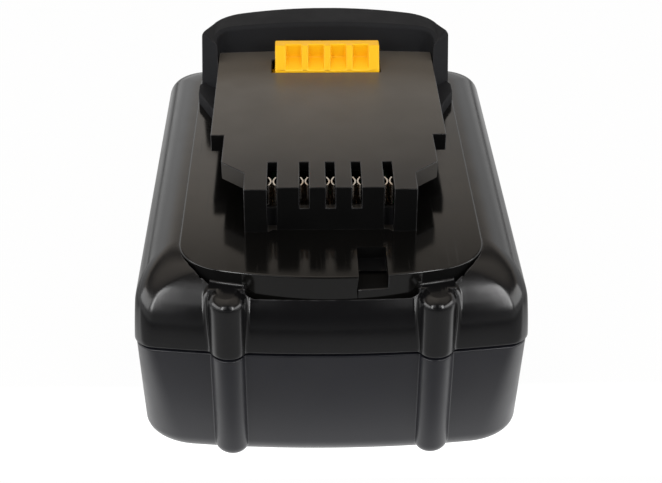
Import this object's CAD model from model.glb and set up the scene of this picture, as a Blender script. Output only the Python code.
# %% [markdown]
# # A slide-on tool battery, dressed in Blender
# The pack arrives as a frame of CAD pieces in metres. This lesson builds finer meshes for the two
# housings, the latch, its springs and the contacts, gives every piece a procedural finish, and sets the
# camera and the light.

# %% Load the frame
import bpy
import bmesh
from math import acos, asin, atan2, cos, degrees, pi, radians, sin, sqrt, tan, tau
from mathutils import Matrix, Vector


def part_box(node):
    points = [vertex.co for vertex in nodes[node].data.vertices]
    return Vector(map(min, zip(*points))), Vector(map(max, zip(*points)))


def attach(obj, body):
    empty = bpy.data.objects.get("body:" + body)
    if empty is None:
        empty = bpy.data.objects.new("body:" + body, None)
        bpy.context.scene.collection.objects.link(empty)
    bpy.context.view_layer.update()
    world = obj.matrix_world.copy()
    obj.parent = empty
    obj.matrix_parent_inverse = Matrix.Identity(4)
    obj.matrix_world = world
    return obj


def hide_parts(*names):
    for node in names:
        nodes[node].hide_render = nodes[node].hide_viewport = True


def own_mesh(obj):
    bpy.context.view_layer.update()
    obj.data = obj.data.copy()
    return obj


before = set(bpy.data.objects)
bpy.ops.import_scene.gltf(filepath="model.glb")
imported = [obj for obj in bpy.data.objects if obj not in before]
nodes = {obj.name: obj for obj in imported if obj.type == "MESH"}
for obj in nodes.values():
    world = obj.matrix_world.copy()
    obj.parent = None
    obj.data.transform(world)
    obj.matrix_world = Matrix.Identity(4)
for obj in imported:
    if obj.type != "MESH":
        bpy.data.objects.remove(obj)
scene = bpy.context.scene
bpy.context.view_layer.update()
print("CAD nodes:", len(nodes))

# %% [markdown]
# The sizes below are in millimetres, as a maker would write them, and MM turns them into metres.
# The outer sizes come from the frame itself, so the dressed housings follow the CAD. The photographed case is
# a touch wider.

# %% Sizes of the case
MM = 0.001

def box_mm(node):
    """The lowest and the highest corner of a CAD node, in millimetres."""
    return [tuple(v / MM for v in corner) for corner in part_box(node)]

upper_low, upper_high = box_mm("upper_housing")
PART_Z = upper_low[2]
TOUCH_WIDER = 0.12
HALF_W = upper_high[0] + TOUCH_WIDER
COLUMN_PROUD = 1.65
FAR_Y = upper_high[1] - COLUMN_PROUD
NEAR_Y = -FAR_Y
WALL = 2.0
SHOULDER_R, SHOULDER_TOP = 8.0, 42.0
SHOULDER_Z = SHOULDER_TOP - SHOULDER_R
END_R, BOW_R = 19.0, 216.0
NEAR_CORNER_R, FAR_CORNER_R = 4.5, 5.0
print("half width", round(HALF_W, 2), "parting height", round(PART_Z, 2), "far face", round(FAR_Y, 2))

# %% [markdown]
# An outline is a list of points seen from above. The case's own outline has a bowed near edge.

# %% Outlines
def between(start, stop, steps):
    """Evenly spaced values from start to stop, both included."""
    return [start + (stop - start) * i / steps for i in range(steps + 1)]

def share(value, start, stop):
    """How far value has come from start to stop, from 0 to 1."""
    return min(max((value - start) / (stop - start), 0), 1)

def arc(x, y, radius, start, stop, steps):
    """Points on an arc, angles in degrees."""
    angles = [radians(a) for a in between(start, stop, steps)]
    return [(x + radius * cos(a), y + radius * sin(a)) for a in angles]

def mirrored(right):
    """The right half of a path, and its mirror image after it."""
    return right + [(-x, y) for x, y in reversed(right)]

def near_bend(half_w, near, radius, bow):
    """Middle of the right near corner, and the tilt in degrees where it meets the bowed near edge."""
    x = half_w - radius
    y = near + bow - sqrt((bow - radius) ** 2 - x ** 2)
    return x, y, degrees(asin(x / (bow - radius)))

def case_outline(half_w, near, far, near_r, far_r, bow, walls=None, steps=12):
    """Four round corners joined by a near and a far wall. Plain walls are a bowed and a straight one."""
    x, y, tilt = near_bend(half_w, near, near_r, bow)
    far_x, far_y = half_w - far_r, far - far_r
    near_wall, far_wall = walls or (arc(0, near + bow, bow, 270 - tilt, 270 + tilt, 3 * steps)[1:-1], [])
    points = arc(-x, y, near_r, 180, 270 - tilt, steps) + near_wall
    points += arc(x, y, near_r, 270 + tilt, 360, steps) + arc(far_x, far_y, far_r, 0, 90, steps)
    return points + far_wall + arc(-far_x, far_y, far_r, 90, 180, steps)

# %% [markdown]
# Three helpers do most of the mesh work: a loft skins a stack of outlines, a prism is the loft with two equal
# outlines, and a slab is a block across the middle of the pack. All of them give closed meshes.

# %% Lofts and prisms
def put(name, data):
    """A new object in the scene."""
    obj = bpy.data.objects.new(name, data)
    scene.collection.objects.link(obj)
    return obj

def mesh_object(name, points, faces):
    """A mesh object from points in millimetres."""
    mesh = bpy.data.meshes.new(name)
    mesh.from_pydata(points, [], faces)
    mesh.validate()
    work = bmesh.new()
    work.from_mesh(mesh)
    bmesh.ops.recalc_face_normals(work, faces=work.faces)
    work.to_mesh(mesh)
    work.free()
    return put(name, mesh)

def wrap(rings):
    """The points of a stack of rings of one length, and the four-sided faces between the rings."""
    count = len(rings[0])
    faces = []
    for low in range(0, (len(rings) - 1) * count, count):
        for i in range(count):
            j = (i + 1) % count
            faces.append((low + i, low + j, low + count + j, low + count + i))
    return [p for ring in rings for p in ring], faces

def loft(name, rings):
    """Skin a stack of rings and cap both ends."""
    points, faces = wrap(rings)
    count, total = len(rings[0]), len(points)
    caps = tuple(reversed(range(count))), tuple(range(total - count, total))
    return mesh_object(name, points, [caps[0], *faces, caps[1]])

def count_faces(obj):
    print(obj.name, "has", len(obj.data.polygons), "faces")

def at_height(outline, z):
    return [(x, y, z) for x, y in outline]

def prism(name, outline, low, high):
    """An outline seen from above, drawn up from one height to another."""
    return loft(name, [at_height(outline, low), at_height(outline, high)])

def side_prism(name, outline, left, right):
    """A side view of (y, z) points, drawn across from one x to another."""
    return loft(name, [[(x, y, z) for y, z in outline] for x in (left, right)])

def block(name, x0, x1, y0, y1, z0, z1):
    return prism(name, [(x0, y0), (x1, y0), (x1, y1), (x0, y1)], z0, z1)

def slab(name, half_w, y0, y1, z0, z1):
    return block(name, -half_w, half_w, y0, y1, z0, z1)

def rod(name, x, y, radius, low, high):
    """A round rod in 40 steps. It starts at 4 degrees, so that none of its corners meets one of a wall."""
    return prism(name, arc(x, y, radius, 4, 355, 39), low, high)

# %% [markdown]
# Moulded parts are joined and hollowed with booleans, and their edges are rounded with a bevel before
# they are joined, so that every edge catches a thin line of light as the real plastic does. A form that cuts
# or joins another one runs past its faces by OVER, as two faces in one plane would spoil the boolean.

# %% Booleans, bevels and shading
OVER = 1.0
CREASE = radians(30)
MERGE, FLAT = 0.1, 0.002

def bake(obj):
    """Apply an object's modifiers to its mesh."""
    graph = bpy.context.evaluated_depsgraph_get()
    mesh = bpy.data.meshes.new_from_object(obj.evaluated_get(graph))
    obj.modifiers.clear()
    old = obj.data
    obj.data = mesh
    bpy.data.meshes.remove(old)
    return obj

def combine(obj, operation, *others):
    for other in others:
        mod = obj.modifiers.new(operation, "BOOLEAN")
        mod.operation = operation
        mod.solver = "EXACT"
        mod.object = other
        bake(obj)
        bpy.data.objects.remove(other)
    return obj

def cut(obj, *others):
    return combine(obj, "DIFFERENCE", *others)

def join(obj, *others):
    return combine(obj, "UNION", *others)

def round_edges(obj, width, segments=3):
    """Clear up the mesh and round all its creases."""
    work = bmesh.new()
    work.from_mesh(obj.data)
    bmesh.ops.remove_doubles(work, verts=work.verts, dist=MERGE)
    bmesh.ops.dissolve_limit(work, angle_limit=FLAT, verts=work.verts, edges=work.edges)
    work.to_mesh(obj.data)
    work.free()
    mod = obj.modifiers.new("round", "BEVEL")
    mod.limit_method = "ANGLE"
    mod.angle_limit = CREASE
    mod.width = width
    mod.segments = segments
    return bake(obj)

def paint(obj, index):
    """Set the material index of all faces, so that it survives the booleans."""
    for face in obj.data.polygons:
        face.material_index = index
    return obj

def smooth(obj, angle=32):
    """Shade a finished piece and bring it from millimetres to metres."""
    obj.data.transform(Matrix.Scale(MM, 4))
    obj.data.shade_smooth()
    obj.data.set_sharp_from_angle(angle=radians(angle))
    mod = obj.modifiers.new("flat faces stay flat", "WEIGHTED_NORMAL")
    mod.keep_sharp = True
    return obj

# %% [markdown]
# Four round columns hold the case screws. Each one swells out of the wall with a soft fillet, so the
# wall and its columns are drawn as one line: a bump gives the points of one column seen from above.

# %% Columns as bumps in a wall
COLUMN_X = 20.1
COLUMN_SAG = BOW_R - sqrt(BOW_R ** 2 - COLUMN_X ** 2)
FILLET_STEPS, FRONT_STEPS = 7, 20

def bump(proud, radius, fillet):
    """(along, out) points of a round column that stands proud of a wall, with a fillet on each side."""
    middle = proud - radius
    drop = max(fillet - middle, 0)
    reach = sqrt((radius + fillet) ** 2 - drop ** 2)
    lean = -degrees(atan2(drop, reach))
    left = arc(-reach, fillet, fillet, -90, lean, FILLET_STEPS)
    front = arc(0, middle, radius, 180 + lean, -lean, FRONT_STEPS)
    return left + front + [(-along, out) for along, out in reversed(left)]

def no_bump(width):
    """As many points as a bump, on the wall itself."""
    return [(x, 0) for x in between(-width, width, 2 * FILLET_STEPS + FRONT_STEPS + 2)]

def wall_line(wall, reach, points, steps=6):
    """A wall y = wall(x) from -reach to reach, with the bump's points at both columns."""
    line = []
    for middle, start, stop in ((-COLUMN_X, -reach, 0), (COLUMN_X, 0, reach)):
        left, right = middle + points[0][0], middle + points[-1][0]
        line += [(x, 0) for x in between(start, left, steps)[:-1]]
        line += [(middle + along, out) for along, out in points]
        line += [(x, 0) for x in between(right, stop, steps)[1:-1]]
    return [(x, wall(x) - out) for x, out in line + [(reach, 0)]]

def column_outline(half_w, near, far, near_r, far_r, bow, near_points, far_points):
    """The case outline with two columns on the near wall and two on the far wall."""
    reach = bow * (half_w - near_r) / (bow - near_r)
    near_wall = wall_line(lambda x: near + bow - sqrt(bow ** 2 - x ** 2), reach, near_points)
    far_wall = [(-x, -y) for x, y in wall_line(lambda x: -far, half_w - far_r, far_points)]
    return case_outline(half_w, near, far, near_r, far_r, bow, (near_wall[1:-1], far_wall[1:-1]))

print("points in a bump:", len(no_bump(COLUMN_X)))

# %% [markdown]
# The upper case is a loft of such rings that climb from the parting line over the shoulders. The sides
# turn in on an 8 mm radius, while the near face leans back on a much larger one. The columns end in
# flat tops with a rounded rim.

# %% Upper case form
LIP_R = 0.22
COLUMN_R, COLUMN_FILLET, COLUMN_RIM = 3.7, 1.1, 2.1
COLUMN_TOP, TOP_GAP = 39.6, 0.1
DECK_CORNER_R = 11.0
UPPER_DRAFT = 0.33
NO_COLUMN = no_bump(COLUMN_R + COLUMN_FILLET)

def near_in(z, wall=0):
    """How far the near face has leaned back at height z."""
    return END_R - sqrt((END_R - wall) ** 2 - (z - PART_Z) ** 2)

def shoulder_in(z, wall=0):
    """How far the sides and the far face have turned in at height z."""
    rise = max(z - SHOULDER_Z, 0)
    return SHOULDER_R - sqrt((SHOULDER_R - wall) ** 2 - min(rise, SHOULDER_R - wall) ** 2)

def near_corner(z):
    turn = shoulder_in(z) / SHOULDER_R
    return NEAR_CORNER_R + (DECK_CORNER_R - NEAR_CORNER_R) * turn

def upper_ring(z, inset=0, rim=0, columns=True):
    """One ring of the outside: inset draws all of it in, rim only the columns."""
    side = shoulder_in(z) + inset - UPPER_DRAFT * max(SHOULDER_Z - z, 0) / (SHOULDER_Z - PART_Z)
    near = near_in(z) + inset
    near_points = far_points = NO_COLUMN
    if columns:
        shrink = inset + rim
        near_points = bump(COLUMN_PROUD + near + COLUMN_SAG - shrink, COLUMN_R - shrink, COLUMN_FILLET)
        far_points = bump(COLUMN_PROUD + side - shrink, COLUMN_R - shrink, COLUMN_FILLET)
    outline = column_outline(HALF_W - side, NEAR_Y + near, FAR_Y - side, near_corner(z), FAR_CORNER_R, BOW_R,
                             near_points, far_points)
    return at_height(outline, z)

def quarter(radius, steps):
    """(across, up) offsets of a quarter round, from a side to a top."""
    turns = [radians(a) for a in between(0, 90, steps)]
    return [(radius * (1 - cos(a)), radius * sin(a)) for a in turns]

rings = [upper_ring(PART_Z + LIP_R - up, inset=across) for across, up in reversed(quarter(LIP_R, 4))]
rim_foot = COLUMN_TOP - COLUMN_RIM
rings += [upper_ring(z) for z in between(PART_Z + LIP_R, rim_foot, 12)[1:-1]]
rings += [upper_ring(rim_foot + up, rim=across) for across, up in quarter(COLUMN_RIM, 6)]
top_low = COLUMN_TOP + TOP_GAP
rings += [upper_ring(top_low + (SHOULDER_TOP - top_low) * sin(radians(a)), columns=False)
          for a in between(0, 90, 10)]
case = loft("upper_case", rings)
count_faces(case)

# %% [markdown]
# A moat separates the near face from the deck. Its outer edge follows the near face between the columns
# and swings round the deck's corners, and it also cuts off the backs of the column tops.

# %% Moat in front of the deck
MOAT_NEAR, MOAT_HALF_W, MOAT_R = NEAR_Y + 3.18, 29.75, 13.2
MOAT_FLOOR, MOAT_BACK, MOAT_START = 36.3, -36.0, 195
moat_x, moat_y, moat_tilt = near_bend(MOAT_HALF_W, MOAT_NEAR, MOAT_R, BOW_R)
moat_left = arc(-moat_x, moat_y, MOAT_R, MOAT_START, 270 - moat_tilt, 16)
moat_line = moat_left + [(x, MOAT_NEAR + BOW_R - sqrt(BOW_R ** 2 - x ** 2)) for x in range(-15, 16, 3)]
moat_line += [(-x, y) for x, y in reversed(moat_left)]
moat_line += [(-moat_left[0][0], MOAT_BACK), (moat_left[0][0], MOAT_BACK)]
cut(case, prism("moat", moat_line, MOAT_FLOOR, SHOULDER_TOP + 5 * OVER))
count_faces(case)

# %% [markdown]
# The deck is the flat top that the tool slides over. It stands half a millimetre above the shoulders,
# and its near edge is bowed. From here on every piece of the upper housing carries its finish as a material
# index, which the booleans keep. Behind the columns the deck's wall keeps the dull skin of the mould.

# %% Deck
DECK_Z = SHOULDER_TOP + 0.5
DECK_HALF_W = HALF_W - SHOULDER_R - 0.32
DECK_NEAR = NEAR_Y + 3.25
DECK_FOOT = DECK_Z - 6.6
SATIN, POLISHED, PLATE, MATTE, SHADED = range(5)
DECK_R = 0.4
DECK_BOW = 77.0
DECK_FAR = FAR_Y - SHOULDER_R - 0.2
DULL_Y, DULL_X, DULL_HALF_W = DECK_NEAR + 8, COLUMN_X + 1, 4.5

def deck_ring(inset, z):
    outline = case_outline(DECK_HALF_W - inset, DECK_NEAR + inset, DECK_FAR - inset, DECK_CORNER_R - inset,
                           FAR_CORNER_R - inset, DECK_BOW - inset)
    return at_height(outline, z)

deck_rim = [deck_ring(across, DECK_Z - DECK_R + up) for across, up in quarter(DECK_R, 4)]
deck = loft("deck", [deck_ring(0, DECK_FOOT)] + deck_rim)
paint(deck, POLISHED)
for face in deck.data.polygons:
    behind_column = face.center.y < DULL_Y and abs(abs(face.center.x) - DULL_X) < DULL_HALF_W
    if abs(face.normal.z) < 0.5 and behind_column:
        face.material_index = SHADED
count_faces(deck)

# %% [markdown]
# The column tops run back across the moat to the deck's wall, and a thin round bead closes the joint there.
# The bead follows the deck's outline, so it is a loft of deck rings. Only the part at each column is kept.

# %% Column tops across the moat
BACK_HALF_W, BACK_TOP, BACK_R = 3.6, COLUMN_TOP + 0.07, 0.35
BACK_NEAR, BACK_FAR = MOAT_NEAR + 0.6, DECK_NEAR + 4.5
BEAD_R = 0.3
for middle in (-COLUMN_X, COLUMN_X):
    left, right = middle - BACK_HALF_W, middle + BACK_HALF_W
    back = block("column_back", left, right, BACK_NEAR, BACK_FAR, MOAT_FLOOR - OVER, BACK_TOP)
    join(case, round_edges(back, BACK_R))
    bead = [deck_ring(-BEAD_R, BACK_TOP - OVER)]
    bead += [deck_ring(across - BEAD_R, BACK_TOP + up) for across, up in quarter(BEAD_R, 5)]
    bead = loft("bead", bead + [deck_ring(BEAD_R, BACK_TOP + BEAD_R)])
    keep = block("bead_part", left + BACK_R, right - BACK_R, MOAT_NEAR, BACK_FAR - OVER / 2, MOAT_FLOOR,
                 DECK_Z)
    join(case, combine(bead, "INTERSECT", keep))
count_faces(case)

# %% [markdown]
# The rail plate is a T in section: a web, and a plate that overhangs it so that the tool's rails can
# slide underneath. Its front end is the terminal block, with five slots for the tool's blades. Only its top
# and the two slanted corners have the finely textured skin; the walls are plain and dark.

# %% Rail plate and terminal block
WEB_HALF_W, NARROW_HALF_W, WING_HALF_W = 17.1, 21.9, 24.7
PLATE_LOW, PLATE_Z = DECK_Z + 5.7, DECK_Z + 9.5
BLOCK_Y = NEAR_Y + 20.7
CHAMFER_Y = BLOCK_Y + 7.1
NARROW_Y = CHAMFER_Y + NARROW_HALF_W - WEB_HALF_W
WING_Y = NARROW_Y + 12.45
WALL_Y = FAR_Y - 17.25
HOLLOW_Z = PLATE_Z - 2.2
RECESS, RECESS_HALF_W = 0.8, 12.3
SLOT_W, SLOT_END = 1.85, BLOCK_Y + 11.85
SLOT_XS = (-11.57, -5.2, 0.0, 5.2, 11.57)
SIGNAL_LOW, POWER_LOW = PLATE_Z - 4.7, DECK_Z + 0.05
TOOTH_HALF_W, TOOTH_BACK = 11.9, WALL_Y - 5.65
TOOTH_FRONT, WINDOW_GAP = TOOTH_BACK - 6.5, 0.45
CHAMBER_HALF_W, CHAMBER_NEAR = 15.5, TOOTH_FRONT - 1.9
HOLLOW_HALF_W, HOLLOW_NEAR, HOLLOW_FAR = 15.1, BLOCK_Y + RECESS + 1.7, CHAMBER_NEAR - 1.3
HOLLOW_LOW = DECK_Z - 3

half_front = [(RECESS_HALF_W - RECESS, BLOCK_Y + RECESS), (RECESS_HALF_W, BLOCK_Y), (WEB_HALF_W, BLOCK_Y)]
web_half = half_front + [(WEB_HALF_W, WALL_Y + OVER)]
plate_half = half_front + [(WEB_HALF_W, CHAMFER_Y), (NARROW_HALF_W, NARROW_Y), (NARROW_HALF_W, WING_Y),
                           (WING_HALF_W, WING_Y), (WING_HALF_W, WALL_Y + OVER)]
rail = prism("rail", mirrored(plate_half), PLATE_LOW, PLATE_Z)
join(rail, prism("web", mirrored(web_half), DECK_Z - OVER, PLATE_LOW + OVER / 2))
cut(rail, slab("hollow", HOLLOW_HALF_W, HOLLOW_NEAR, HOLLOW_FAR, HOLLOW_LOW, HOLLOW_Z))
for x in SLOT_XS:
    left, right = x - SLOT_W / 2, x + SLOT_W / 2
    low = POWER_LOW if x in (SLOT_XS[0], SLOT_XS[-1]) else SIGNAL_LOW
    cut(rail, block("slot_front", left, right, BLOCK_Y - OVER, HOLLOW_NEAR + OVER / 2, low, PLATE_Z + OVER))
    cut(rail, block("slot_top", left, right, BLOCK_Y - OVER, SLOT_END, HOLLOW_Z - OVER / 2, PLATE_Z + OVER))
cut(rail, slab("window", TOOTH_HALF_W + WINDOW_GAP, TOOTH_FRONT - WINDOW_GAP, TOOTH_BACK + WINDOW_GAP,
               HOLLOW_Z - OVER, PLATE_Z + OVER))
cut(rail, slab("chamber", CHAMBER_HALF_W, CHAMBER_NEAR, WALL_Y + 3 * OVER, HOLLOW_LOW, HOLLOW_Z))
paint(rail, SHADED)
for face in rail.data.polygons:
    chamfer = face.normal.y < -0.3 and abs(face.normal.x) > 0.5 and face.center.z > PLATE_LOW
    if face.normal.z > 0.5 or chamfer:
        face.material_index = PLATE
count_faces(rail)

# %% [markdown]
# The hood stands round the latch at the far end. Its plan is a C with a bowed back and sides that spread
# towards the front, so its top can be skinned as a strip between an outer and an inner path. The back leans
# out as it goes down, and the top falls off at the arms.

# %% Hood
HOOD_Z = PLATE_Z + 6.95
HOOD_FAR = FAR_Y - 6.8
HOOD_LEAN = tan(radians(9.0))
HOOD_BOW, HOOD_R, HOOD_CORNER_X, HOOD_SPREAD = 105.0, 9.0, 18.0, 18.0
HOOD_HALF_W, HOOD_FLARE = 28.6, 0.5
ARM_OUT_Y, ARM_IN_Y = WALL_Y - 2.0, WALL_Y - 5.6
ARM_KNEE_Y, ARM_FALL = WALL_Y - 1.5, 0.28
POCKET_HALF_W, POCKET_R, POCKET_BOW = 24.9, (0.8, 3.8), 280.0
ARCH_R = 330.0
HOOD_EDGE_R, HOOD_STEPS, HOOD_FILL_HALF_W = 1.0, 8, 26.0

def hood_outer(z, inset):
    """The outer path at height z, from the right arm round to the left arm."""
    down = HOOD_Z - z
    bow, corner = HOOD_BOW - inset, HOOD_R - inset
    middle = HOOD_FAR + HOOD_LEAN * down - HOOD_BOW
    turn = acos(HOOD_CORNER_X / (HOOD_BOW - HOOD_R))
    corner_y = middle + (HOOD_BOW - HOOD_R) * sin(turn)
    turn = degrees(turn)
    right = [(HOOD_HALF_W + HOOD_FLARE * down / (HOOD_Z - DECK_Z) - inset, ARM_OUT_Y + inset)]
    right += arc(HOOD_CORNER_X, corner_y, corner, HOOD_SPREAD, turn, HOOD_STEPS)
    return mirrored(right + arc(0, middle, bow, turn, 90, HOOD_STEPS)[1:-1])

def hood_inner(z, inset):
    """The inner path, with as many points as the outer one. Its corners get rounder towards the top."""
    rise = share(z, PLATE_Z, HOOD_Z)
    half_x, radius = POCKET_HALF_W + inset, POCKET_R[0] + (POCKET_R[1] - POCKET_R[0]) * rise + inset
    back = WALL_Y + inset
    right = [(half_x, ARM_IN_Y + inset)] + arc(half_x - radius, back - radius, radius, 0, 90, HOOD_STEPS)
    right += [(x, back) for x in between(half_x - radius, 0, HOOD_STEPS)[1:-1]]
    return mirrored([(x, y - x * x / (2 * POCKET_BOW)) for x, y in right])

def hood_ring(z, inset):
    rise = share(z, DECK_Z, HOOD_Z)
    return [(x, y, z - rise * (x * x / (2 * ARCH_R) + ARM_FALL * max(ARM_KNEE_Y - y, 0)))
            for x, y in hood_outer(z, inset) + hood_inner(z, inset)[::-1]]

def hood_form(name):
    """The C-shaped wall, in triangles as the arms' ends are warped. Its top is a strip of quads."""
    rings = [hood_ring(z, 0) for z in (SHOULDER_TOP - OVER, DECK_Z, (DECK_Z + PLATE_Z) / 2, PLATE_Z)]
    rings += [hood_ring(HOOD_Z - HOOD_EDGE_R + up, across) for across, up in quarter(HOOD_EDGE_R, 5)]
    points, quads = wrap(rings)
    faces = [tri for a, b, c, d in quads for tri in ((a, b, c), (a, c, d))]
    count = len(rings[0])
    for end in (0, len(points) - count):
        faces += [(end + i, end + i + 1, end + count - 2 - i, end + count - 1 - i)
                  for i in range(count // 2 - 1)]
    return mesh_object(name, points, faces)

hood = hood_form("hood")
join(hood, slab("hood_fill", HOOD_FILL_HALF_W, ARM_OUT_Y + 0.6, WALL_Y + OVER, DECK_Z - OVER,
                PLATE_LOW + OVER / 2))
count_faces(hood)

# %% [markdown]
# Stops close the far ends of the two rail grooves. Each one is a low wedge that runs out to the hood's side.

# %% Rail stops
STOP_Z = DECK_Z + 2.7
STOP_Y = WALL_Y - 20.65
STOP_OUT = HOOD_HALF_W + HOOD_FLARE + 0.4
STOP_TURN_Y, STOP_END_Y = WALL_Y - 8.2, WALL_Y - 4.0
STOP_EDGE_R = 0.25

def rail_stop(side):
    inside, far = WEB_HALF_W - OVER, ARM_OUT_Y + OVER
    right = [(inside, STOP_Y), (WING_HALF_W, STOP_Y), (STOP_OUT, STOP_TURN_Y), (STOP_OUT, STOP_END_Y),
             (HOOD_HALF_W - OVER / 2, far), (inside, far)]
    outline = [(side * x, y) for x, y in right]
    return round_edges(prism("stop", outline, DECK_Z - OVER, STOP_Z), STOP_EDGE_R)

stops = [rail_stop(-1), rail_stop(1)]
print("stops:", len(stops))

# %% [markdown]
# Now the upper housing is put together from its pieces. The hood and the stops are matte.

# %% Join the upper housing
for piece in (hood, *stops):
    paint(piece, MATTE)
upper = join(case, deck, hood, rail, *stops)
upper.name = "upper_housing_shell"
count_faces(upper)

# %% [markdown]
# The hollow inside is a smaller copy of the case form. A box for the board, one for the latch and one in
# the hood follow, and the release button gets its opening in the far face.

# %% Hollow inside
CHAMBER_FAR, ROOM_LOW = HOOD_FAR - 1.3, SHOULDER_TOP - 3
HOOD_ROOF, HOOD_BACK, HOOD_ROOM_HALF_W = 3.2, 1.8, 16.0
BUTTON_HALF_W, BUTTON_TOP, BUTTON_GAP = 12.4, HOOD_Z - HOOD_ROOF, 0.6
heights = [PART_Z - OVER] + between(PART_Z, SHOULDER_Z, 4)[1:-1]
heights += [SHOULDER_Z + (SHOULDER_R - WALL) * sin(radians(a)) for a in between(0, 90, 9)]
inner = []
for z in heights:
    side, near = shoulder_in(z, WALL), near_in(z, WALL)
    outline = case_outline(HALF_W - side, NEAR_Y + near, FAR_Y - side, near_corner(z) - WALL,
                           FAR_CORNER_R - WALL, BOW_R - near)
    inner.append(at_height(outline, z))
cut(upper, loft("inside", inner))
cut(upper, slab("board_room", HOLLOW_HALF_W, HOLLOW_NEAR, HOLLOW_FAR, ROOM_LOW, HOLLOW_Z))
cut(upper, slab("latch_room", CHAMBER_HALF_W, CHAMBER_NEAR, CHAMBER_FAR, ROOM_LOW, HOLLOW_Z))
cut(upper, slab("hood_room", HOOD_ROOM_HALF_W, WALL_Y + WALL, HOOD_FAR - WALL - HOOD_BACK, DECK_Z,
                HOOD_Z - HOOD_ROOF))
cut(upper, slab("button_room", BUTTON_HALF_W + BUTTON_GAP, CHAMBER_FAR - OVER, FAR_Y, DECK_Z,
                BUTTON_TOP + BUTTON_GAP / 2))
count_faces(upper)

# %% [markdown]
# Behind the release button stand two posts, which take the screws of the latch's base. The key notch in the
# deck's near edge is cut into a pad, so that it doesn't open into the inside.

# %% Posts and key notch
POST_R, POST_TOP, SCREW_HEAD_R, SCREW_GRIP = 2.6, HOOD_Z - 3.0, 1.9, 5.5
screw_low, screw_high = box_mm("latch_base_screws")
post_y, post_low = (screw_low[1] + screw_high[1]) / 2, screw_high[2] - SCREW_GRIP
for x in (screw_low[0] + SCREW_HEAD_R, screw_high[0] - SCREW_HEAD_R):
    join(upper, paint(rod("post", x, post_y, POST_R, post_low, POST_TOP), SHADED))
NOTCH_X, NOTCH_W, NOTCH_L, NOTCH_DEPTH = 7.8, 5.65, 11.25, 3.0
PAD_NEAR, PAD_T, PAD_TOP = DECK_NEAR + 2.5, 0.8, DECK_Z - 1.2
left, right, end = NOTCH_X - NOTCH_W / 2, NOTCH_X + NOTCH_W / 2, DECK_NEAR + NOTCH_L
notch_low = DECK_Z - NOTCH_DEPTH
join(upper, block("notch_pad", left - OVER, right + OVER, PAD_NEAR, end + OVER, notch_low - PAD_T, PAD_TOP))
cut(upper, paint(block("notch", left, right, NEAR_Y, end, notch_low, DECK_Z + OVER), SHADED))
count_faces(upper)

# %% [markdown]
# The sharp outer edges are rounded last, when the form is closed. A rule picks the edges: the moat's rim,
# and everything that stands above the deck in front of the hood.

# %% Round the last sharp edges
SHARP = radians(38)
MOAT_EDGE_R, RAIL_EDGE_R = 0.3, 0.18
MOAT_EDGE_X, NEARLY = MOAT_HALF_W - 2.2, 0.1

def round_picked(obj, rule, width, segments=3):
    """Round the sharp convex edges whose middle the rule accepts."""
    work = bmesh.new()
    work.from_mesh(obj.data)
    picked = [e for e in work.edges if e.is_convex and e.calc_face_angle(0) > SHARP
              and rule((e.verts[0].co + e.verts[1].co) / 2)]
    bmesh.ops.bevel(work, geom=picked, offset=width, segments=segments, profile=0.5, affect="EDGES",
                    clamp_overlap=False)
    work.to_mesh(obj.data)
    work.free()
    print("rounded", len(picked), "edges of", obj.name)
    return obj

def on_moat(p):
    clear_of_column = abs(abs(p.x) - COLUMN_X) > COLUMN_R + COLUMN_FILLET
    return clear_of_column and MOAT_FLOOR + 0.5 < p.z < SHOULDER_TOP and abs(p.x) < MOAT_EDGE_X

def on_rail(p):
    on_plate = abs(p.x) < WING_HALF_W + NEARLY and BLOCK_Y - NEARLY < p.y < WALL_Y - 0.5
    return on_plate and p.z > DECK_Z + NEARLY

round_picked(upper, on_moat, MOAT_EDGE_R)
round_picked(upper, on_rail, RAIL_EDGE_R)
smooth(upper)

# %% [markdown]
# The lower housing is a tub: its near face leans in towards a rounded bottom edge, its near corners get
# rounder on the way down, and the four columns run down it and end in rounded feet. A fine groove under its
# lip draws the parting line.

# %% Lower housing
LOWER_STEP, SIDE_STEP = 0.25, -0.03
SIDE_DRAFT, NEAR_DRAFT, FAR_DRAFT = 0.1, 3.3, 0.95
BOTTOM_R, CORNER_GROWTH = 4.0, 5.5
FLOOR = 1.9
FOOT_Z, FOOT_R = 1.15, 2.2
LOWER_COLUMN_R, LOWER_FILLET = 3.4, 0.4
GROOVE, GROOVE_DEEP = 0.75, 0.9
LOWER_LIP_R = 0.4
STRAIGHT_Z = BOTTOM_R + 1.0
ROOM_CORNERS, ROOM_R = (5.0, 2.0), BOTTOM_R - WALL
LOWER_FLAT = no_bump(LOWER_COLUMN_R + LOWER_FILLET)

def bottom_turn(z, low, radius):
    drop = min(max(radius - (z - low), 0), radius)
    return radius - sqrt(radius ** 2 - drop ** 2)

def lower_ring(z, inset=0, foot=0, columns=True):
    """One ring of the tub: inset draws all of it in, foot only the columns."""
    depth = (PART_Z - z) / PART_Z
    turn = bottom_turn(z, 0, BOTTOM_R)
    side = LOWER_STEP + turn + inset
    near_points = far_points = LOWER_FLAT
    if columns:
        near_points, far_points = (
            bump(COLUMN_PROUD + turn + out - foot, LOWER_COLUMN_R - inset - foot, LOWER_FILLET)
            for out in (COLUMN_SAG, 0))
    half_w = HALF_W - side + LOWER_STEP - SIDE_STEP - SIDE_DRAFT * depth
    outline = column_outline(half_w, NEAR_Y + side + NEAR_DRAFT * depth,
                             FAR_Y - side - FAR_DRAFT * depth, NEAR_CORNER_R + CORNER_GROWTH * depth,
                             FAR_CORNER_R, BOW_R, near_points, far_points)
    return at_height(outline, z)

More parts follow.
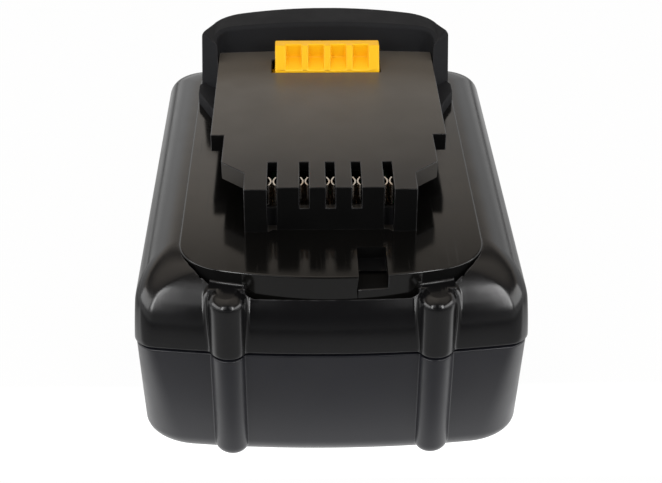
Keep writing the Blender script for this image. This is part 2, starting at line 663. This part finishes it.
rings = [lower_ring(FOOT_Z * (1 - cos(radians(a))), columns=False) for a in between(0, 90, 10)]
rings += [lower_ring(FOOT_Z + 0.02 + FOOT_R - up, foot=across) for across, up in reversed(quarter(FOOT_R, 7))]
rings += [lower_ring(z) for z in between(FOOT_Z + FOOT_R, STRAIGHT_Z, 4)[1:]]
lip_foot = PART_Z - GROOVE - LOWER_LIP_R
rings += [lower_ring(z) for z in between(STRAIGHT_Z, lip_foot, 6)[1:-1]]
rings += [lower_ring(lip_foot + up, inset=across) for across, up in quarter(LOWER_LIP_R, 5)]
rings += [lower_ring(PART_Z - GROOVE + 0.01, inset=GROOVE_DEEP), lower_ring(PART_Z, inset=GROOVE_DEEP)]
lower = loft("lower_housing_tub", rings)
room = []
for z in [FLOOR + ROOM_R * (1 - cos(radians(a))) for a in between(0, 90, 6)] + [PART_Z + OVER]:
    depth = (PART_Z - z) / PART_Z
    side = WALL + LOWER_STEP + bottom_turn(z, FLOOR, ROOM_R)
    outline = case_outline(HALF_W - side - SIDE_DRAFT * depth, NEAR_Y + side + NEAR_DRAFT * depth,
                           FAR_Y - side - FAR_DRAFT * depth, *ROOM_CORNERS, BOW_R)
    room.append(at_height(outline, z))
cut(lower, loft("tub_room", room))
count_faces(lower)

# %% [markdown]
# Each column has a boss inside it, with a deep hole for the screw's head and a narrower one for its shank.

# %% Screw holes
SCREW_X, SCREW_YS = 19.75, (NEAR_Y + 4.85, FAR_Y - 2.7)
BOSS_R, HEAD_R, SHANK_R, HEAD_DEEP = 2.65, 2.17, 1.37, 9.0
BOSS_LOW, BOSS_TOP = FLOOR + 0.3, PART_Z - 0.1
for x in (-SCREW_X, SCREW_X):
    for y in SCREW_YS:
        join(lower, rod("boss", x, y, BOSS_R, BOSS_LOW, BOSS_TOP))
        cut(lower, rod("head_hole", x, y, HEAD_R, -OVER, HEAD_DEEP))
        cut(lower, rod("shank_hole", x, y, SHANK_R, HEAD_DEEP - OVER, PART_Z + OVER))
smooth(lower)
count_faces(lower)

# %% [markdown]
# The latch is one moulding: a tooth with a ramp and four pockets, a flange below the plate, a neck, and
# the release button at the far end.

# %% Latch
FLANGE_TOP = HOLLOW_Z - 0.3
FLANGE_LOW = FLANGE_TOP - 1.6
TOOTH_TOP = PLATE_Z + 5.0
POCKET_Y = TOOTH_BACK - 2.5
BUTTON_Y = HOOD_FAR + 1.0
BUTTON_NEAR = BUTTON_Y - 6.1
FLANGE_HALF_W, FLANGE_OUT, NECK_HALF_W, NECK_IN = 14.5, 1.2, 8.0, 0.3
POCKETS, POCKET_PITCH, GRIP_HALF_W, POCKET_LOW, POCKET_RISE = 4, 5.1, 1.75, PLATE_Z + 0.3, 1.6
SPRING_X, SPRING_HOLE_R, SPRING_HOLE = 7.5, 2.7, 3.1
RIDGES, RIDGE_START, RIDGE_PITCH, RIDGE_H, RIDGE_OUT, RIDGE_IN = 3, 1.6, 2.2, 0.8, 0.6, 3.0
TOOTH_EDGE_R, FLANGE_EDGE_R, BUTTON_EDGE_R, RIDGE_EDGE_R = 0.3, 0.2, 0.6, 0.25
RAMP_FOOT, TOOTH_FLAT = PLATE_Z + 0.1, 3.3
tooth_low, open_y, open_z = FLANGE_LOW + OVER / 2, TOOTH_FRONT - 2 * OVER, TOOTH_TOP + 3 * OVER
tooth_side = [(TOOTH_FRONT, tooth_low), (TOOTH_FRONT, RAMP_FOOT), (TOOTH_BACK - TOOTH_FLAT, TOOTH_TOP),
              (TOOTH_BACK, TOOTH_TOP), (TOOTH_BACK, tooth_low)]
pocket_side = [(open_y, POCKET_LOW), (TOOTH_FRONT, POCKET_LOW), (POCKET_Y, POCKET_LOW + POCKET_RISE),
               (POCKET_Y, open_z), (open_y, open_z)]
latch = side_prism("latch_tooth", tooth_side, -TOOTH_HALF_W, TOOTH_HALF_W)
for i in range(POCKETS):
    x = (i - (POCKETS - 1) / 2) * POCKET_PITCH
    cut(latch, side_prism("pocket", pocket_side, x - GRIP_HALF_W, x + GRIP_HALF_W))
round_edges(latch, TOOTH_EDGE_R)
flange = slab("flange", FLANGE_HALF_W, TOOTH_FRONT - FLANGE_OUT, TOOTH_BACK + FLANGE_OUT, FLANGE_LOW,
              FLANGE_TOP)
neck = slab("neck", NECK_HALF_W, TOOTH_BACK - OVER, BUTTON_NEAR + OVER, FLANGE_LOW + NECK_IN,
            FLANGE_TOP - NECK_IN)
for piece in (flange, neck):
    join(latch, round_edges(piece, FLANGE_EDGE_R))
for x in (-SPRING_X, SPRING_X):
    hole = arc(x, (TOOTH_FRONT + TOOTH_BACK) / 2, SPRING_HOLE_R, 0, 345, 23)
    cut(latch, prism("spring_hole", hole, FLANGE_LOW - OVER, FLANGE_LOW + SPRING_HOLE))
button = slab("button", BUTTON_HALF_W, BUTTON_NEAR, BUTTON_Y, FLANGE_LOW, BUTTON_TOP)
round_edges(button, BUTTON_EDGE_R)
for i in range(RIDGES):
    top = BUTTON_TOP - RIDGE_START - RIDGE_PITCH * i
    ridge = slab("ridge", BUTTON_HALF_W - RIDGE_IN, BUTTON_Y - OVER, BUTTON_Y + RIDGE_OUT, top - RIDGE_H, top)
    join(button, round_edges(ridge, RIDGE_EDGE_R))
join(latch, button)
LATCH_SHIFT = 0.3
latch.data.transform(Matrix.Translation((LATCH_SHIFT, 0, 0)))
smooth(latch)
latch.name = "latch_moulding"
count_faces(latch)

# %% [markdown]
# Behind each slot stands a spring contact: two leaves that pinch the tool's blade and flare again at the
# front, so that the blade finds its way in. A parabola gives the pinch. The leaves are tall where they
# pinch and lower behind, where they hide below the plate.

# %% Spring contacts
LEAF_T, PINCH_HALF, WIDE_HALF = 0.3, 0.24, 0.7
PINCH_IN, CLIP_TOP, CLIP_REAR_TOP = 1.6, PLATE_Z - 1.0, HOLLOW_Z - 1.2
clip_low, clip_high = box_mm("contact_signal_2")
TIP_Y, CLIP_BACK, CLIP_FOOT = clip_low[1], clip_high[1], clip_low[2]
FOOT_OUT, FOOT_T, FOOT_EDGE_R, LAP = 0.5, 0.5, 0.12, 0.2

def leaf_x(y):
    """Half the gap between the leaves, at the middle of their thickness."""
    along = (y - TIP_Y - PINCH_IN) / PINCH_IN
    return min(PINCH_HALF + (WIDE_HALF - PINCH_HALF) * along ** 2, WIDE_HALF)

def leaf(side, start, stop, top, steps=12):
    ys = between(start, stop, steps)
    outline = [(side * (leaf_x(y) + LEAF_T / 2), y) for y in ys]
    outline += [(side * (leaf_x(y) - LEAF_T / 2), y) for y in reversed(ys)]
    return prism("leaf", outline, CLIP_FOOT + LAP, top)

def contact_clip(name, x):
    """Foot, back and four leaves of one contact, moved to its slot."""
    straight_y = TIP_Y + 2 * PINCH_IN
    clip = slab(name, WIDE_HALF + FOOT_OUT, straight_y, CLIP_BACK, CLIP_FOOT, CLIP_FOOT + FOOT_T)
    round_edges(clip, FOOT_EDGE_R)
    for side in (-1, 1):
        join(clip, leaf(side, TIP_Y, straight_y + LAP, CLIP_TOP))
        join(clip, leaf(side, straight_y, CLIP_BACK - LAP, CLIP_REAR_TOP))
    join(clip, slab("back", WIDE_HALF, CLIP_BACK - 3 * LAP, CLIP_BACK - LAP / 2, CLIP_FOOT + LAP / 2,
                    CLIP_REAR_TOP - 2 * LAP))
    clip.data.transform(Matrix.Translation((x, 0, 0)))
    return smooth(clip)

CONTACTS = ("contact_positive", *("contact_signal_%d" % i for i in (1, 2, 3)), "contact_negative")
clips = {node: contact_clip(node + "_clip", x) for node, x in zip(CONTACTS, SLOT_XS)}
print("contacts:", len(clips))

# %% [markdown]
# The contacts sit in a carrier on the near end of the board. It is a frame with a window for each contact,
# and an apron in front hangs down over the board's edge, so that only dark plastic shows in the slots.

# %% Contact carrier
(left, front, low), (right, back, high) = box_mm("contact_carrier")
APRON, APRON_GAP, APRON_DROP, CARRIER_EDGE_R = 0.45, 0.12, 1.4, 0.2
WINDOW_HALF_W, CONTACT_GAP = 1.6, 0.15
carrier = block("contact_carrier_frame", left, right, front - APRON, back, low + 0.02, high)
join(carrier, block("apron", left, right, front - APRON, front - APRON_GAP, low - APRON_DROP, low + OVER))
round_edges(carrier, CARRIER_EDGE_R)
for x in SLOT_XS:
    cut(carrier, block("contact_window", x - WINDOW_HALF_W, x + WINDOW_HALF_W, TIP_Y - CONTACT_GAP,
                       CLIP_BACK + CONTACT_GAP, low - OVER, high + OVER))
smooth(carrier)
count_faces(carrier)

# %% [markdown]
# Two compression springs stand on the latch's base and push it up. A real one is wound from round wire, with
# its end turns closed so that it stands square: here a small ring of points is carried round such a helix.
# The coil flattens towards its foot as the latch slides down, so that it never runs through the tooth.

# %% Latch springs
WIRE_R, COIL_TURNS, END_TURNS, COIL_STEPS, WIRE_SIDES = 0.25, 5.5, 0.75, 24, 10
LATCH_TRAVEL, WIRE_SMOOTH = 5.2, 60

def coil_height(turn, low, high):
    """Height of the wire's middle after some turns, between a closed turn at the foot and one at the head."""
    closed = 2 * WIRE_R * END_TURNS
    open_share = share(turn, END_TURNS, COIL_TURNS - END_TURNS)
    ends = (min(turn, END_TURNS) + max(turn - COIL_TURNS + END_TURNS, 0)) / END_TURNS
    return low + WIRE_R + closed * ends + (high - low - 2 * WIRE_R - 2 * closed) * open_share

springs = {}
for node in ("latch_spring_left", "latch_spring_right"):
    low, high = box_mm(node)
    middle = [(a + b) / 2 for a, b in zip(low, high)]
    coil_r = (high[0] - low[0]) / 2 - WIRE_R
    rings = []
    for i in range(int(COIL_TURNS * COIL_STEPS) + 1):
        turn = i / COIL_STEPS
        z = coil_height(turn, low[2], high[2])
        reach = arc(coil_r, z, WIRE_R, 0, 360 - 360 / WIRE_SIDES, WIRE_SIDES - 1)
        rings.append([(middle[0] + r * cos(tau * turn), middle[1] + r * sin(tau * turn), up)
                      for r, up in reach])
    springs[node] = smooth(loft(node + "_coil", rings), WIRE_SMOOTH)
    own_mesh(springs[node])

# %% [markdown]
# Every dressed piece stands for a CAD node and rides on that node's body.

# %% Tie the pieces to the frame
dressed = [(upper, "upper_housing", "pack", "upper_case"), (lower, "lower_housing", "pack", "lower_case"),
           (latch, "latch", "latch", "latch_plastic"), (carrier, "contact_carrier", "pack", "inner_plastic")]
dressed += [(clip, node, "pack", "contact_metal") for node, clip in clips.items()]
dressed += [(spring, node, "pack", "spring_steel") for node, spring in springs.items()]
for piece, node, body, slot in dressed:
    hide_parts(node)
    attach(piece, body)
print("dressed pieces:", len(dressed))

# %% [markdown]
# A finish is a small node tree. A few helpers keep the trees short: they add a node and set its inputs, add a
# noise that wanders over the piece, or turn a value into another range.

# %% Node helpers
def feed(tree, socket, value):
    """Set an input, or link it where the value is another node's output."""
    if isinstance(value, bpy.types.NodeSocket):
        tree.links.new(value, socket)
    else:
        socket.default_value = value

def feed_all(tree, node, **inputs):
    for name, value in inputs.items():
        feed(tree, node.inputs[name.replace("_", " ")], value)
    return node

def add(tree, kind, **inputs):
    """A new node with some of its inputs set."""
    return feed_all(tree, tree.nodes.new("ShaderNode" + kind), **inputs)

def along_y(tree):
    return add(tree, "SeparateXYZ", Vector=add(tree, "TexCoord").outputs["Object"]).outputs["Y"]

def noise(tree, size, detail=3.0, stretch=(1, 1, 1)):
    """Noise whose spots are about size millimetres wide, drawn out along an axis where stretch is below 1."""
    place = add(tree, "TexCoord").outputs["Object"]
    if stretch != (1, 1, 1):
        place = add(tree, "Mapping", Vector=place, Scale=stretch).outputs["Vector"]
    return add(tree, "TexNoise", Vector=place, Scale=1 / (size * MM), Detail=detail).outputs["Fac"]

def spread(tree, value, low, high, start=0.0, stop=1.0):
    """Map the range start to stop onto low to high."""
    node = add(tree, "MapRange", Value=value, From_Min=start, From_Max=stop, To_Min=low, To_Max=high)
    return node.outputs["Result"]

def math_node(tree, operation, first, second, kind="Math"):
    node = add(tree, kind)
    node.operation = operation
    for socket, value in zip(node.inputs, (first, second)):
        feed(tree, socket, value)
    return node.outputs["Value"]

def dot(tree, first, second):
    """1 where two directions agree, 0 where they are square to each other."""
    return math_node(tree, "DOT_PRODUCT", first, second, "VectorMath")

def mixed(tree, factor, first, second):
    """A colour between two others."""
    node = add(tree, "Mix")
    node.data_type = "RGBA"
    for name, value in (("Factor", factor), ("A", first), ("B", second)):
        feed(tree, node.inputs[name], value)
    return node.outputs["Result"]

def new_finish(name):
    mat = bpy.data.materials.new(name)
    mat.use_nodes = True
    return mat, mat.node_tree, mat.node_tree.nodes["Principled BSDF"]

def grain_bump(tree, shader, height, strength, depth):
    bumped = add(tree, "Bump", Height=height, Strength=strength, Distance=depth * MM)
    feed_all(tree, shader, Normal=bumped.outputs["Normal"])

# %% [markdown]
# Handling polishes the corners of a tool. An edge shows where the normal of a softened surface differs
# from the true one, which the Bevel node can tell, and a patchy noise breaks that line up.

# %% Worn edges
def worn_edges(tree, width):
    """1 on worn edges, 0 elsewhere, for edges about width millimetres wide."""
    soft = add(tree, "Bevel", Radius=width * MM)
    turned = dot(tree, soft.outputs["Normal"], add(tree, "NewGeometry").outputs["Normal"])
    edge = spread(tree, turned, 1.0, 0.0, 0.80, 0.985)
    return math_node(tree, "MULTIPLY", edge, spread(tree, noise(tree, 2.5, 4), 0.0, 1.0, 0.35, 0.65))

# %% [markdown]
# Moulded plastic has a nearly even colour with slow clouds in it, a gloss that wanders a little where
# hands have been, a fine grain from the mould, and paler, duller edges. A polished face also gets hair
# scratches: noise drawn out along the way the tool slides. On the rail plate the rubbing tool has darkened
# the near end, so there the colour fades along the plate.

# %% A moulded plastic finish
def moulded(name, dark, light, worn, rough_low, rough_high, grain, grain_size, specular=0.5, scratches=0.0,
            fade=None):
    mat, tree, shader = new_finish(name)
    edge = worn_edges(tree, 0.45)
    cloud = noise(tree, 14)
    if fade:
        along = spread(tree, along_y(tree), -0.1, 0.9, fade[0] * MM, fade[1] * MM)
        cloud = math_node(tree, "ADD", along, math_node(tree, "MULTIPLY", cloud, 0.2))
    clouds = mixed(tree, cloud, (*dark, 1), (*light, 1))
    colour = mixed(tree, edge, clouds, (*worn, 1))
    rough = spread(tree, noise(tree, 6, 5), rough_low, rough_high, 0.3, 0.7)
    if scratches:
        hair = spread(tree, noise(tree, 0.35, 2, (1, 0.02, 1)), 0.0, scratches, 0.62, 0.72)
        rough = math_node(tree, "ADD", rough, hair)
    rough = math_node(tree, "ADD", rough, math_node(tree, "MULTIPLY", edge, 0.1))
    feed_all(tree, shader, Base_Color=colour, Roughness=rough, Specular_IOR_Level=specular)
    grain_bump(tree, shader, noise(tree, grain_size, 2), grain, 0.05)
    return mat

CASE = {
    "satin_black": ((0.0035, 0.0035, 0.004), (0.0055, 0.0055, 0.006), (0.05, 0.05, 0.052),
                    0.13, 0.20, 0.06, 0.4),
    "polished_black": ((0.0025, 0.0024, 0.0023), (0.004, 0.0038, 0.0035), (0.02, 0.019, 0.018),
                       0.10, 0.15, 0.01, 1.1, 0.5, 0.08),
    "plate_black": ((0.018, 0.016, 0.014), (0.105, 0.094, 0.080), (0.13, 0.125, 0.12),
                    0.28, 0.36, 0.08, 0.5, 0.2, 0.0, (-30, 30)),
    "matte_black": ((0.015, 0.0155, 0.017), (0.021, 0.0215, 0.0235), (0.035, 0.035, 0.037),
                    0.52, 0.64, 0.25, 0.33, 0.04),
    "shaded_black": ((0.002, 0.002, 0.002), (0.003, 0.003, 0.003), (0.006, 0.006, 0.006),
                     0.45, 0.6, 0.2, 0.4, 0.08),
}
for name, looks in CASE.items():
    upper.data.materials.append(moulded(name, *looks))
tub_black = moulded("tub_black", (0.006, 0.0063, 0.0092), (0.009, 0.0094, 0.0135), (0.028, 0.028, 0.032),
                    0.30, 0.38, 0.10, 0.4)
latch_orange = moulded("latch_orange", (0.97, 0.48, 0.003), (1.0, 0.57, 0.006), (1.0, 0.62, 0.04),
                       0.34, 0.42, 0.06, 0.45, 0.3)
print("case finishes:", [mat.name for mat in upper.data.materials])

# %% [markdown]
# The metals inside are drawn wire, plated screws, nickel strip and tinned copper. Their marks run one way,
# so the noise for gloss and bump is drawn out along that way, and a second noise gives tarnish.

# %% Metal finishes
def metal(name, bright, tarnish, rough_low, rough_high, grain_size, along):
    mat, tree, shader = new_finish(name)
    lines = noise(tree, grain_size, 3, tuple(0.06 if axis == along else 1 for axis in "xyz"))
    spots = spread(tree, noise(tree, 3.0, 4), 0.0, 1.0, 0.4, 0.75)
    shade = mixed(tree, spots, (*bright, 1), (*tarnish, 1))
    colour = mixed(tree, worn_edges(tree, 0.2), shade, (*(min(1, 1.1 * c) for c in bright), 1))
    rough = spread(tree, lines, rough_low, rough_high, 0.3, 0.7)
    feed_all(tree, shader, Base_Color=colour, Roughness=rough, Metallic=1.0)
    grain_bump(tree, shader, lines, 0.15, 0.02)
    return mat

finishes = {
    "spring_steel": metal("spring_wire", (0.60, 0.61, 0.63), (0.42, 0.42, 0.43), 0.22, 0.38, 0.15, "z"),
    "screw_steel": metal("zinc_plating", (0.58, 0.59, 0.62), (0.45, 0.44, 0.40), 0.25, 0.42, 0.25, "z"),
    "contact_metal": metal("tinned_copper", (0.76, 0.72, 0.66), (0.60, 0.44, 0.30), 0.18, 0.32, 0.2, "y"),
    "shunt_metal": metal("resistance_alloy", (0.64, 0.42, 0.26), (0.45, 0.27, 0.16), 0.30, 0.45, 0.2, "x"),
    "bar_metal": metal("nickel_strip", (0.66, 0.63, 0.57), (0.50, 0.46, 0.40), 0.24, 0.40, 0.3, "y"),
}
print("metals:", len(finishes))

# %% [markdown]
# The rest of the inside is plain plastic, ceramic and paper. The cells wear a thin shrink wrap, which is
# glossy and slightly wavy, and the small parts on the board are matte mouldings.

# %% Plastics inside
finishes.update({
    "upper_case": upper.data.materials[SATIN], "lower_case": tub_black, "latch_plastic": latch_orange,
    "inner_plastic": moulded("inner_black", (0.006, 0.006, 0.007), (0.011, 0.011, 0.012), (0.03, 0.03, 0.03),
                             0.42, 0.55, 0.2, 0.4, 0.3),
    "chip": moulded("chip_body", (0.016, 0.016, 0.016), (0.03, 0.03, 0.03), (0.07, 0.07, 0.07),
                    0.5, 0.65, 0.3, 0.2),
    "ceramic": moulded("ceramic", (0.40, 0.28, 0.17), (0.50, 0.36, 0.23), (0.60, 0.48, 0.34),
                       0.45, 0.6, 0.2, 0.25),
    "thermistor_coat": moulded("dip_coat", (0.03, 0.03, 0.04), (0.07, 0.07, 0.08), (0.12, 0.12, 0.13),
                               0.15, 0.28, 0.2, 0.8),
    "cell_wrap": moulded("shrink_wrap", (0.022, 0.18, 0.145), (0.036, 0.25, 0.205), (0.10, 0.36, 0.31),
                         0.14, 0.26, 0.35, 3.0),
    "insulator_sheet": moulded("insulating_paper", (0.56, 0.51, 0.39), (0.66, 0.61, 0.49), (0.74, 0.70, 0.60),
                               0.75, 0.9, 0.5, 0.3, 0.2),
})
print("finishes by slot:", len(finishes))

# %% [markdown]
# The circuit board is green solder mask over copper. Where copper runs underneath, the mask is lighter and
# stands a little proud, so one brick pattern drives both the colour and the bump.

# %% Solder mask on the board
board_green, tree, shader = new_finish("solder_mask")
place = add(tree, "TexCoord").outputs["Object"]
bricks = add(tree, "TexBrick", Vector=place, Scale=1 / (6 * MM), Mortar_Size=0.05, Mortar_Smooth=0.1)
tracks = bricks.outputs["Fac"]
clouds = mixed(tree, noise(tree, 5), (0.014, 0.12, 0.05, 1), (0.024, 0.18, 0.08, 1))
feed_all(tree, shader, Base_Color=mixed(tree, tracks, clouds, (0.05, 0.26, 0.11, 1)),
         Roughness=spread(tree, noise(tree, 2, 4), 0.22, 0.36))
grain_bump(tree, shader, tracks, 0.3, 0.03)
finishes["board"] = board_green
print("board finish:", board_green.name)

# %% [markdown]
# Each CAD piece that stays gets the finish of its material slot, and so does each dressed piece, apart from
# the upper housing, which has its five already.

# %% Finishes by slot
for node in nodes.values():
    for material_slot in node.material_slots:
        material_slot.material = finishes[material_slot.material.name]
for piece, node, body, slot in dressed:
    if piece != upper:
        piece.data.materials.append(finishes[slot])
print("pieces with a finish:", len(nodes))

# %% [markdown]
# The camera stands where the photograph was taken: a pinhole fitted to the case's edges.

# %% Camera at the photograph's view
FOCAL_PX, WIDTH_PX = 1500.0, 662.0
ELEVATION, YAW, ROLL = (radians(a) for a in (30.0436, 1.2004, 0.2))
TARGET = Vector((0.404, -17.31, 31.19)) * MM
DISTANCE = 316.77 * MM

def heading(azimuth, lift):
    """A direction from its angle round from +Y and its angle above the floor."""
    return Vector((sin(azimuth) * cos(lift), cos(azimuth) * cos(lift), sin(lift)))

forward = heading(YAW, -ELEVATION)
right = Vector((cos(YAW), -sin(YAW), 0))
up = right.cross(forward)
level_right = right * cos(ROLL) + up * sin(ROLL)
level_up = up * cos(ROLL) - right * sin(ROLL)
turn = Matrix((level_right, level_up, -forward)).transposed().to_4x4()
lens = bpy.data.cameras.new("camera")
lens.sensor_width = 36.0
lens.lens = lens.sensor_width * FOCAL_PX / WIDTH_PX
lens.clip_start = 0.01
scene.camera = put("camera", lens)
scene.camera.matrix_world = Matrix.Translation(TARGET - forward * DISTANCE) @ turn
print("lens", round(lens.lens, 2), "mm")

# %% [markdown]
# Polished black plastic shows its surroundings more than its own colour, so the studio is drawn with care.
# The backdrop is bright low down and falls off higher up and to the right, and the side of the camera is
# dark. Each of these is a ramp over the direction of a ray, and the product is the brightness of the
# world. The part higher up is a little warm, as a room's ceiling is. Camera rays see plain white.

# %% World
scene.view_settings.view_transform = "Standard"
world = bpy.data.worlds.new("studio")
scene.world = world
world.use_nodes = True
sky = world.node_tree

def ramp(tree, value, low, high, stops):
    """A grey ramp over value, with stops given as (value, brightness)."""
    node = add(tree, "ValToRGB", Fac=spread(tree, value, 0.0, 1.0, low, high))
    elements = node.color_ramp.elements
    while len(elements) < len(stops):
        elements.new(1.0)
    for element, (at, level) in zip(elements, stops):
        element.position = (at - low) / (high - low)
        element.color = (level, level, level, 1)
    return node.outputs["Color"]

direction = add(sky, "TexCoord").outputs["Generated"]
parts = add(sky, "SeparateXYZ", Vector=direction).outputs
HEIGHTS = [(0, 0.80), (0.07, 0.80), (0.15, 0.69), (0.21, 0.70), (0.27, 0.84), (0.43, 0.82), (0.47, 0.74),
           (0.495, 0.50), (0.507, 0.30), (0.52, 0.12), (0.57, 0.10), (0.75, 0.66), (1, 0.76)]
SIDES = [(-1, 0.85), (-0.3, 0.93), (0, 0.98), (0.12, 0.72), (0.4, 0.73), (1, 0.8)]
CAMERA_SIDE = [(0, 1.0), (0.4, 0.92), (0.72, 0.6), (0.88, 0.14), (0.95, 0.02), (1, 0.02)]
by_height = ramp(sky, parts["Z"], 0, 1, HEIGHTS)
by_side = ramp(sky, parts["X"], -1, 1, SIDES)
by_camera = ramp(sky, dot(sky, direction, -forward), 0, 1, CAMERA_SIDE)
level = math_node(sky, "MULTIPLY", math_node(sky, "MULTIPLY", by_height, by_side), by_camera)
WORLD_LEVEL = 1.25
level = math_node(sky, "MULTIPLY", level, WORLD_LEVEL)
camera_ray = add(sky, "LightPath").outputs["Is Camera Ray"]
warmth = spread(sky, parts["Z"], 0.0, 1.0, 0.36, 0.46)
feed_all(sky, sky.nodes["Background"], Strength=math_node(sky, "MAXIMUM", level, camera_ray),
         Color=mixed(sky, warmth, (1, 1, 1, 1), (1, 0.90, 0.79, 1)))
print("world nodes:", len(sky.nodes))

# %% [markdown]
# Three area lamps stand on each side, aimed at the pack: a narrow bright strip, a wide panel at the side, and
# a dim fill next to the camera. Their reflections make the highlights on the case's near corners and on the
# rims of the columns. A key lamp above the camera lights the colours; it's too soft to show in the gloss.
# A lamp is given by its direction round and up, its width and height as seen from the pack, all in degrees,
# and its brightness.

# %% Softboxes
LAMP_AWAY = 0.6
AIM_AT = Vector((0, 0, 0.03))
STRIP, PANEL, FILL = (149, 25, 8, 26, 9.5), (111, 20, 52, 18, 2.9), (161, 34, 14, 26, 0.9)
KEY = (180, 62, 40, 30, 1.8)

def softbox(name, azimuth, lift, across, tall, brightness):
    """An area lamp seen from the pack in a given direction, with its size in degrees."""
    lamp = bpy.data.lights.new(name, "AREA")
    lamp.shape = "RECTANGLE"
    lamp.size, lamp.size_y = (2 * LAMP_AWAY * tan(radians(a / 2)) for a in (across, tall))
    lamp.energy = brightness * pi * lamp.size * lamp.size_y
    holder = put(name, lamp)
    away = heading(radians(azimuth), radians(lift))
    holder.location = AIM_AT + away * LAMP_AWAY
    holder.rotation_euler = away.to_track_quat("Z", "Y").to_euler()
    return holder

for side, word in ((-1, "left"), (1, "right")):
    for kind, (azimuth, *rest) in (("strip", STRIP), ("panel", PANEL), ("fill", FILL)):
        softbox(kind + "_" + word, side * azimuth, *rest)
softbox("key", *KEY).visible_glossy = False
print("softboxes:", len(bpy.data.lights))

# %% [markdown]
# The floor is white paper. The camera sees it white apart from a faint shadow, and mirror rays see how the
# light lies on it: bright at the pack's near foot, and dimmer towards the camera and further back.

# %% Floor
FLOOR_HALF, FLOOR_T = 900.0, 1.0
floor = smooth(block("floor", -FLOOR_HALF, FLOOR_HALF, -FLOOR_HALF, FLOOR_HALF, -FLOOR_T, 0))
floor_white, tree, paper = new_finish("floor_white")
whites = mixed(tree, noise(tree, 20), (0.88, 0.88, 0.88, 1), (0.92, 0.92, 0.92, 1))
feed_all(tree, paper, Base_Color=whites, Roughness=0.9)
FLOOR_NEAR, FLOOR_FAR = -0.32, 0.4
FLOOR_LIGHT = [(FLOOR_NEAR, 0.02), (-0.20, 0.14), (-0.11, 0.23), (-0.070, 0.27), (-0.062, 0.46), (-0.05, 1.0),
               (0.0, 0.33), (0.08, 0.27), (0.16, 0.43), (0.35, 0.15)]
lit = ramp(tree, along_y(tree), FLOOR_NEAR, FLOOR_FAR, FLOOR_LIGHT)
FLOOR_LEVEL = 1.5
lit = math_node(tree, "MULTIPLY", lit, FLOOR_LEVEL)
rays = add(tree, "LightPath").outputs
white = add(tree, "Emission", Strength=math_node(tree, "MAXIMUM", lit, rays["Is Camera Ray"]))
SHADOW = 0.03
shown = math_node(tree, "MAXIMUM", rays["Is Camera Ray"], rays["Is Glossy Ray"])
both = add(tree, "MixShader", Fac=math_node(tree, "MULTIPLY", shown, 1 - SHADOW))
feed(tree, both.inputs[1], paper.outputs["BSDF"])
feed(tree, both.inputs[2], white.outputs["Emission"])
feed_all(tree, tree.nodes["Material Output"], Surface=both.outputs["Shader"])
floor.data.materials.append(floor_white)
print("floor", 2 * FLOOR_HALF, "mm wide")
